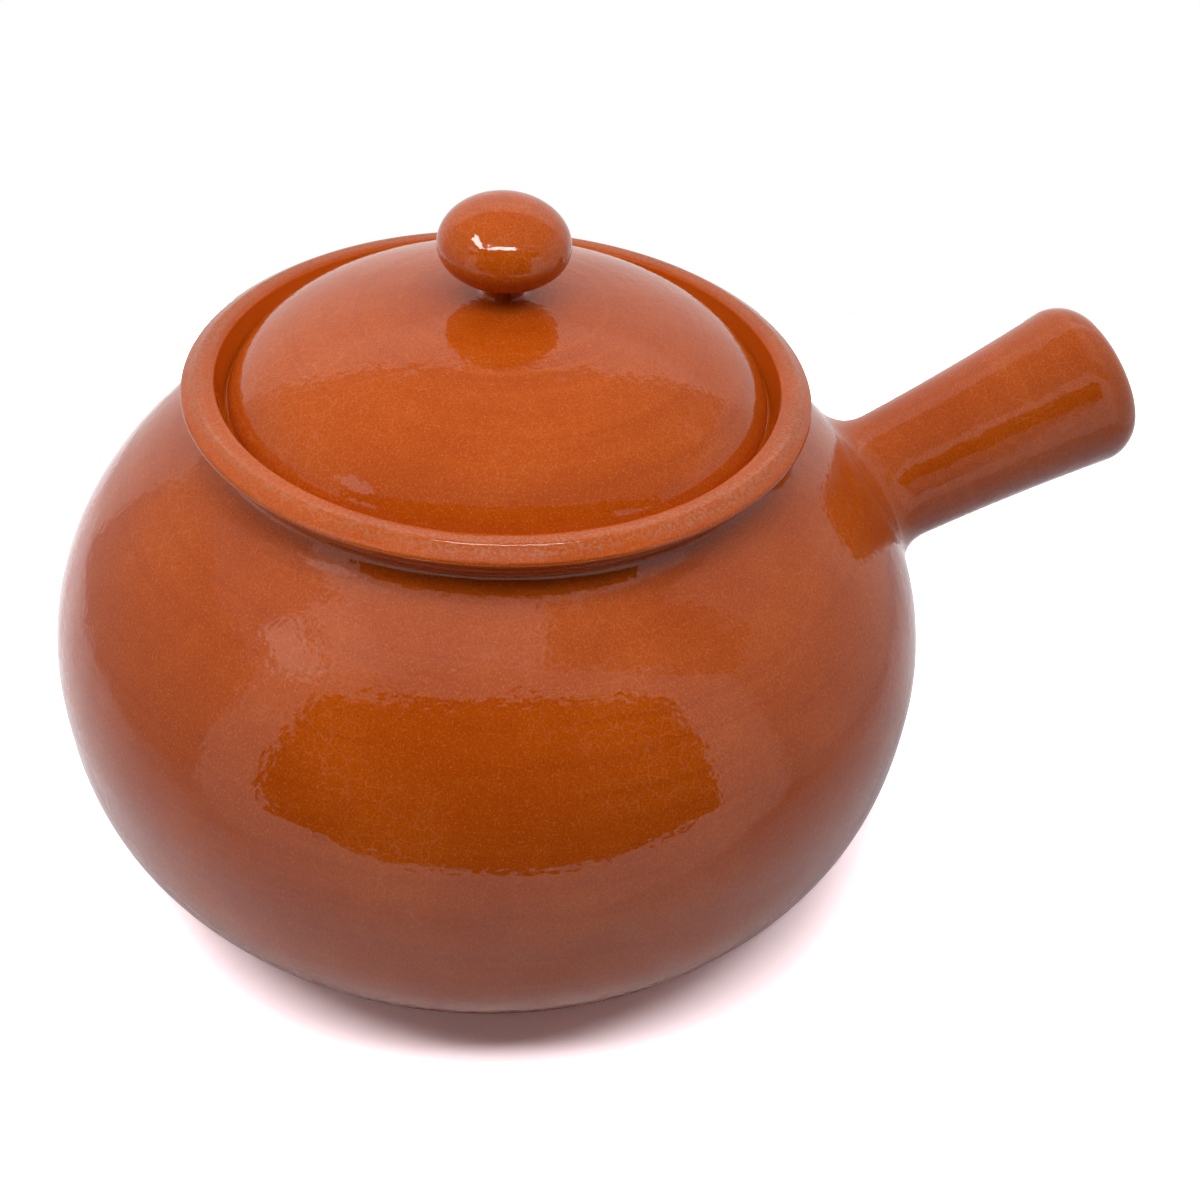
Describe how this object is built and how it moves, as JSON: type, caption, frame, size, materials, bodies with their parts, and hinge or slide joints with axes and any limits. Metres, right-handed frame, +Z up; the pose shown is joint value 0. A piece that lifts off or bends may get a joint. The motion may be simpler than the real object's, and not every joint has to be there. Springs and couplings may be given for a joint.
{
  "type": "terracotta cooking pot",
  "caption": "Round-bellied glazed terracotta cooking pot with an out-turned rim, a hollow flared side handle and a loose domed lid with a ball knob.",
  "frame": {"origin": "centre of the flat base, on the surface that the pot stands on", "axes": "+Z up along the pot's axis, +X along the handle seen from above"},
  "size_m": [0.3059, 0.24, 0.1895],
  "materials": {
    "glazed_body": "clear glossy glaze over orange-brown terracotta, with fine specks, faint turning marks and a bare foot",
    "glazed_handle": "clear glossy glaze over orange-brown terracotta",
    "glazed_handle_joint": "clear glossy glaze over clay smoothed by hand",
    "glazed_lid": "clear glossy glaze over orange-brown terracotta, with fine specks and faint turning marks",
    "glazed_knob": "clear glossy glaze over orange-brown terracotta",
    "glazed_knob_joint": "clear glossy glaze over smoothed slip"
  },
  "bodies": {
    "pot": {"pot_body": "glazed_body", "handle": "glazed_handle", "handle_joint_fillet": "glazed_handle_joint"},
    "lid": {"lid": "glazed_lid", "lid_knob": "glazed_knob", "knob_joint_ring": "glazed_knob_joint"}
  },
  "joints": [
    {"name": "lid_lift", "type": "slide", "parent": "pot", "child": "lid", "axis": [0, 0, 1], "range_m": [0, 0.12]}
  ]
}
